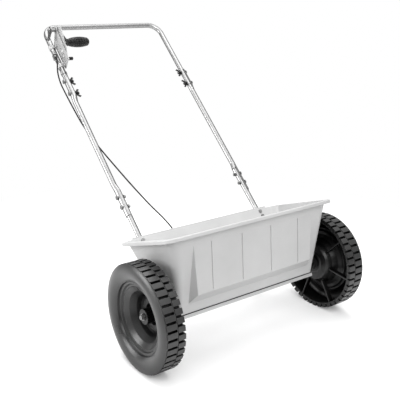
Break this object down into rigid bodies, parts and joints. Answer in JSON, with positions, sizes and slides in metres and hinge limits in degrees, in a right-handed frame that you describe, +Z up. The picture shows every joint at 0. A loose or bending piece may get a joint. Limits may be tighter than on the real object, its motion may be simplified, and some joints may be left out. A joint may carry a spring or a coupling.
{
  "type": "garden spreader",
  "caption": "Push-along drop spreader with tapered plastic hopper, lugged wheels, bolted tube handle and a rate lever whose cable slides the shutter plate.",
  "frame": {"origin": "ground level, centred under the object's bounding box", "axes": "+X along the axle to the object's right seen from behind the handle, +Y back towards the user, +Z up; parked leaning back on its stand"},
  "size_m": [0.6836, 0.876, 0.8078],
  "materials": {
    "hopper_plastic": "pale grey moulded polypropylene, fine satin grain",
    "wheel_plastic": "dark grey blow-moulded plastic, satin",
    "black_plastic": "black moulded nylon",
    "grip_plastic": "black ribbed soft-touch plastic",
    "black_rubber": "black rubber sleeve",
    "tube_steel": "bright zinc-plated steel tube",
    "zinc_steel": "zinc-plated steel hardware",
    "plate_steel": "galvanised sheet steel",
    "cable_black": "black plastic cable sheath",
    "wire_steel": "bare steel cable wire"
  },
  "bodies": {
    "frame": {"hopper": "hopper_plastic", "metering_plate": "plate_steel", "rail_front": "plate_steel", "rail_back": "plate_steel", "rail_screws": "zinc_steel", "rail_seal": "black_rubber", "axle_bushes": "black_plastic", "lower_tube_right": "tube_steel", "lower_tube_left": "tube_steel", "middle_tube_right": "tube_steel", "middle_tube_left": "tube_steel", "handle_u_bar": "tube_steel", "tube_plugs": "black_plastic", "top_joint_bolts": "zinc_steel", "wing_nuts": "black_plastic", "bottom_joint_bolts": "zinc_steel", "bottom_joint_nuts": "zinc_steel", "hopper_bolts": "zinc_steel", "hopper_bolt_nuts": "zinc_steel", "stand": "tube_steel", "stand_bolts": "zinc_steel", "stand_nuts": "zinc_steel", "foot_sleeves": "black_rubber", "lever_bracket": "plate_steel", "bracket_clamps": "plate_steel", "cable_bracket_top": "zinc_steel", "cable_bracket_bottom": "zinc_steel", "cable_sheath": "cable_black", "cable_ferrules": "zinc_steel", "cable_clip": "zinc_steel"},
    "drive": {"wheel_right": "wheel_plastic", "axle": "zinc_steel", "axle_spacers": "zinc_steel", "agitator": "black_plastic", "drive_pin": "zinc_steel", "hub_knobs": "black_plastic", "hub_washers": "zinc_steel"},
    "wheel_left": {"wheel_left": "wheel_plastic"},
    "lever": {"lever_arm": "zinc_steel", "lever_cable_pin": "zinc_steel", "lever_pivot_bolt": "zinc_steel", "lever_pivot_nut": "zinc_steel", "lever_grip": "grip_plastic", "grip_collar": "grip_plastic"},
    "rate_stop": {"rate_stop_arm": "plate_steel", "rate_stop_knob": "grip_plastic"},
    "wire_top": {"wire_top": "wire_steel"},
    "shutter": {"shutter_plate": "plate_steel", "wire_bottom": "wire_steel"}
  },
  "joints": [
    {"name": "axle_turn", "type": "hinge", "parent": "frame", "child": "drive", "pos_m": [0, -0.29806, 0.14], "axis": [1, 0, 0], "continuous": true},
    {"name": "left_wheel_turn", "type": "hinge", "parent": "frame", "child": "wheel_left", "pos_m": [0, -0.29806, 0.14], "axis": [1, 0, 0], "continuous": true},
    {"name": "lever_turn", "type": "hinge", "parent": "frame", "child": "lever", "pos_m": [-0.2, 0.35163, 0.79667], "axis": [1, 0, 0], "range_deg": [0, 22]},
    {"name": "rate_stop_turn", "type": "hinge", "parent": "frame", "child": "rate_stop", "pos_m": [-0.2, 0.35163, 0.79667], "axis": [1, 0, 0], "range_deg": [-14, 1.5]},
    {"name": "wire_slide", "type": "slide", "parent": "frame", "child": "wire_top", "axis": [0, 0.7225, 0.6914], "range_m": [0, 0.0122]},
    {"name": "shutter_slide", "type": "slide", "parent": "frame", "child": "shutter", "axis": [0, 0.9466, -0.3223], "range_m": [0, 0.0122]}
  ],
  "couplings": [
    {"joint": "wire_slide", "follows": "lever_turn", "m_per_rad": 0.031},
    {"joint": "shutter_slide", "follows": "lever_turn", "m_per_rad": 0.031}
  ]
}
